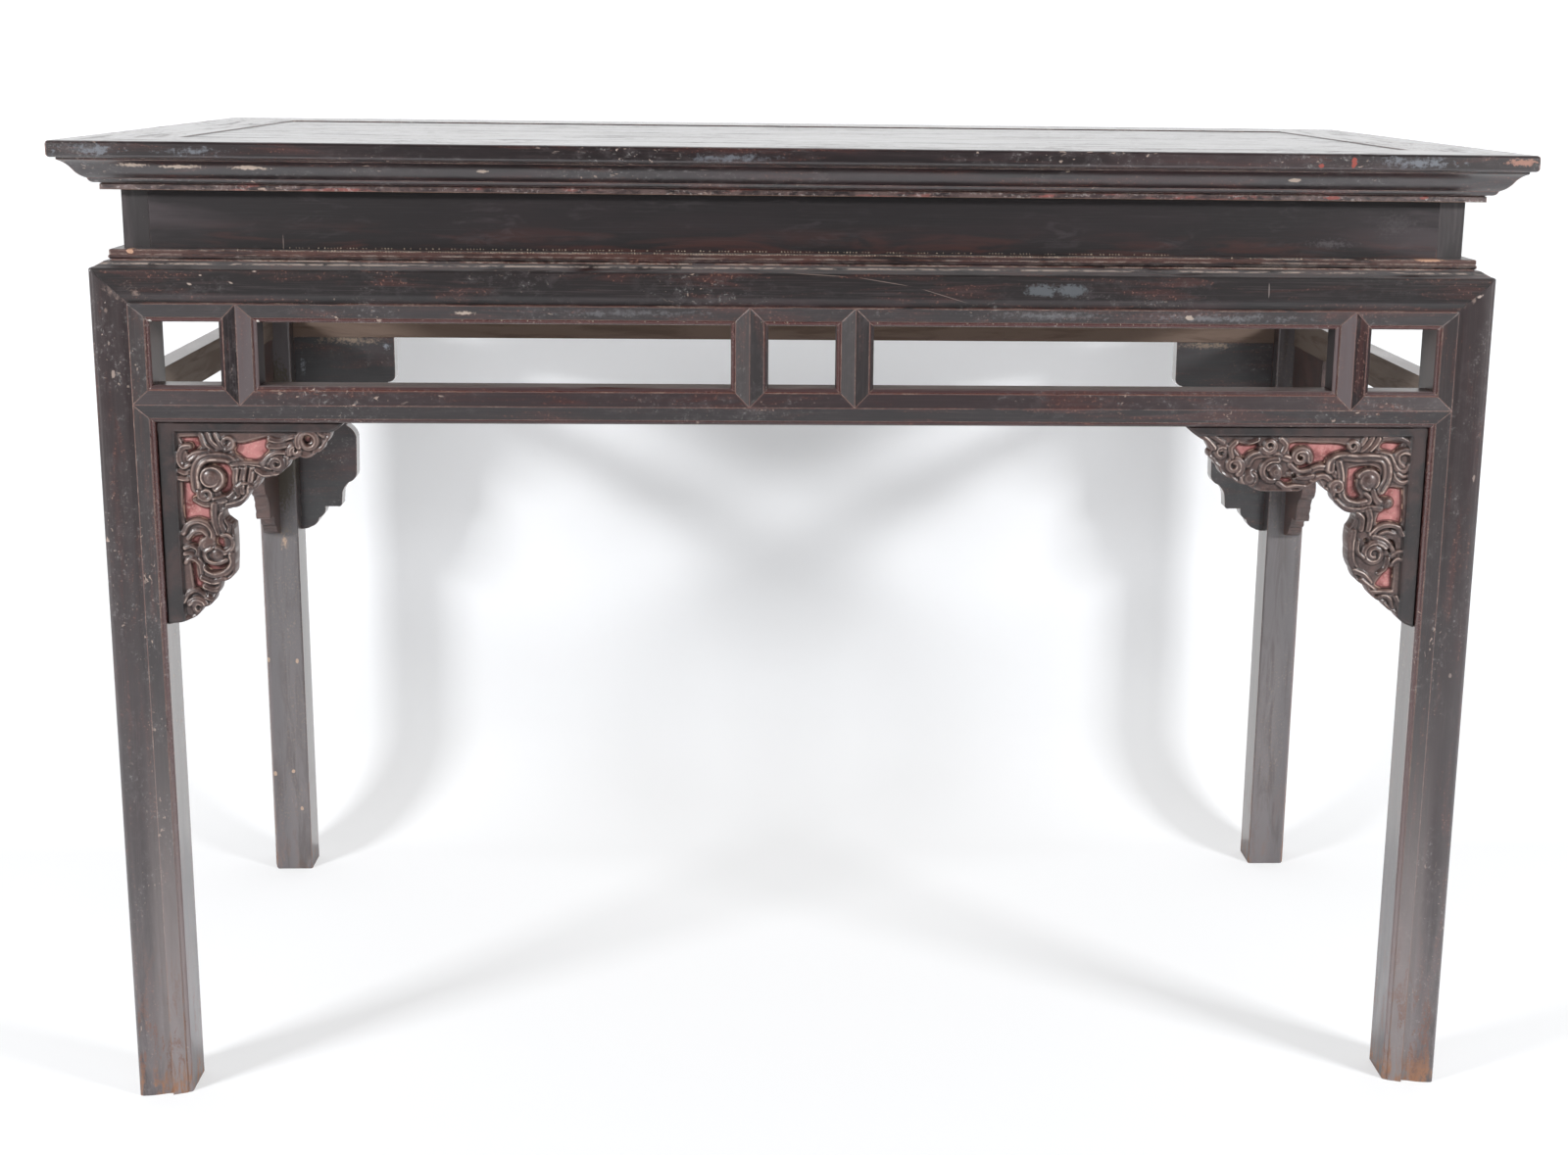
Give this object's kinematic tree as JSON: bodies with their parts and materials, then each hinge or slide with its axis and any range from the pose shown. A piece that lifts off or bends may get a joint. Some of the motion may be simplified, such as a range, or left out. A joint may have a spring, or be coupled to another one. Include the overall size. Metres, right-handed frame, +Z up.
{
  "type": "altar table",
  "caption": "Waisted altar table of dark lacquered wood: framed top over a moulded apron, an openwork frieze of ridged rails and struts, and carved cloud spandrels on square legs.",
  "frame": {"origin": "on the floor, under the middle of the top", "axes": "+X along the length, +Y to the back (the side with the two carved spandrels faces -Y), +Z up"},
  "size_m": [1.25, 0.607, 0.87],
  "materials": {
    "black_lacquer": "worn dark lacquer over a red ground, semi-gloss",
    "carved_lacquer": "carved relief in worn brown lacquer on a dusty red ground",
    "bare_wood": "unfinished aged wood of the underside"
  },
  "bodies": {
    "root": {"apron_back": "black_lacquer", "apron_front": "black_lacquer", "apron_left": "black_lacquer", "apron_right": "black_lacquer", "batten_left": "bare_wood", "batten_middle": "bare_wood", "batten_right": "bare_wood", "leg_back_left": "black_lacquer", "leg_back_right": "black_lacquer", "leg_front_left": "black_lacquer", "leg_front_right": "black_lacquer", "panel_board_back": "black_lacquer", "panel_board_front": "black_lacquer", "sill_back": "black_lacquer", "sill_front": "black_lacquer", "sill_left": "black_lacquer", "sill_right": "black_lacquer", "spandrel_back_left": "black_lacquer", "spandrel_back_right": "black_lacquer", "spandrel_front_left": "carved_lacquer", "spandrel_front_right": "carved_lacquer", "spandrel_left_back": "black_lacquer", "spandrel_left_front": "black_lacquer", "spandrel_right_back": "black_lacquer", "spandrel_right_front": "black_lacquer", "stretcher_back": "black_lacquer", "stretcher_front": "black_lacquer", "stretcher_left": "black_lacquer", "stretcher_right": "black_lacquer", "strut_inner_left": "black_lacquer", "strut_inner_right": "black_lacquer", "strut_outer_left": "black_lacquer", "strut_outer_right": "black_lacquer", "top_rail_back": "black_lacquer", "top_rail_front": "black_lacquer", "top_rail_left": "black_lacquer", "top_rail_right": "black_lacquer", "waist_back": "black_lacquer", "waist_front": "black_lacquer", "waist_left": "black_lacquer", "waist_right": "black_lacquer"}
  },
  "joints": []
}
